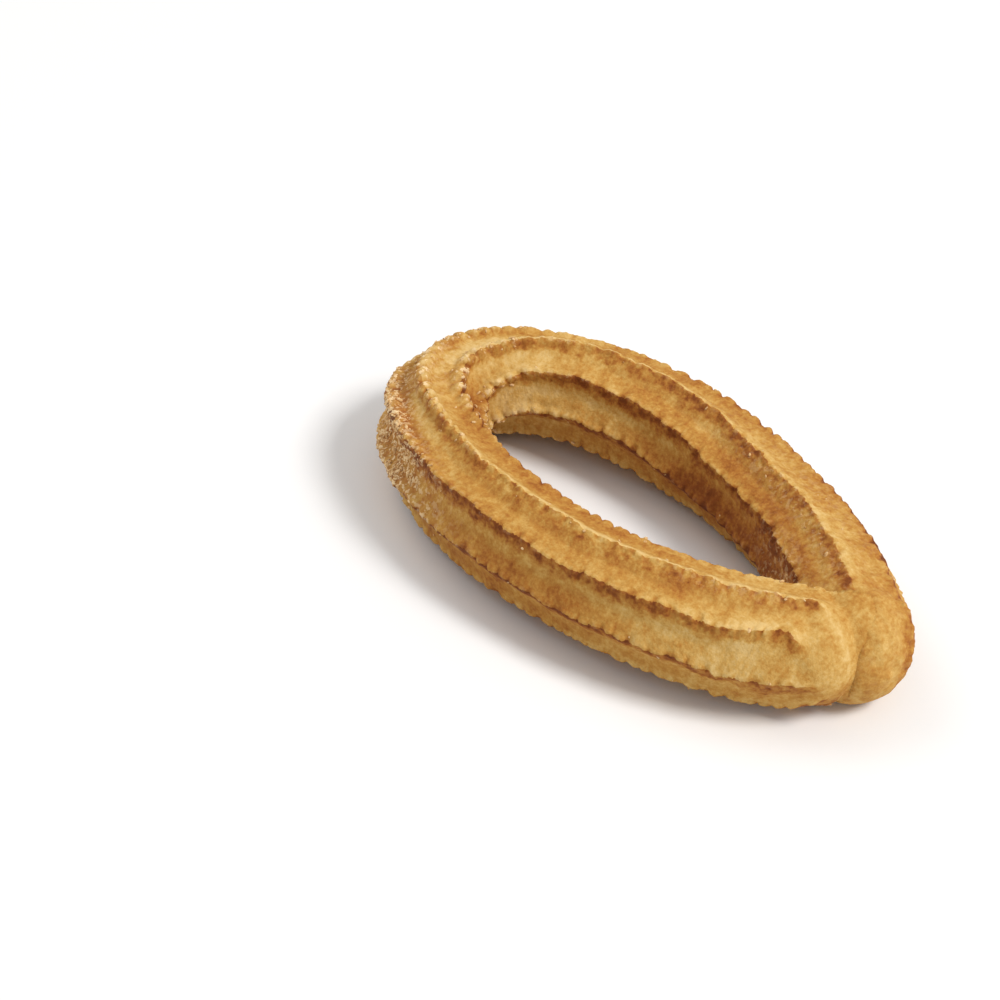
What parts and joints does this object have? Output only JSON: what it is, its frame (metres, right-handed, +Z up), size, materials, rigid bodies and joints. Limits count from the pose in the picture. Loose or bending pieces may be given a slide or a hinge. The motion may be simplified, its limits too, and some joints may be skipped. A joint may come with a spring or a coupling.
{
  "type": "churro",
  "caption": "Fried churro: a ridged rope of dough bent into a teardrop loop with its two ends pressed together.",
  "frame": {"origin": "middle of the bounding box at the surface the churro lies on", "axes": "+X along the loop from the bend to the pressed nose, +Y across the loop to the far leg, +Z up"},
  "size_m": [0.1122, 0.0644, 0.0214],
  "materials": {
    "fried_dough": "matte golden-brown fried crust, pale in the valleys and darker along the crests"
  },
  "bodies": {
    "root": {"churro": "fried_dough"}
  },
  "joints": []
}
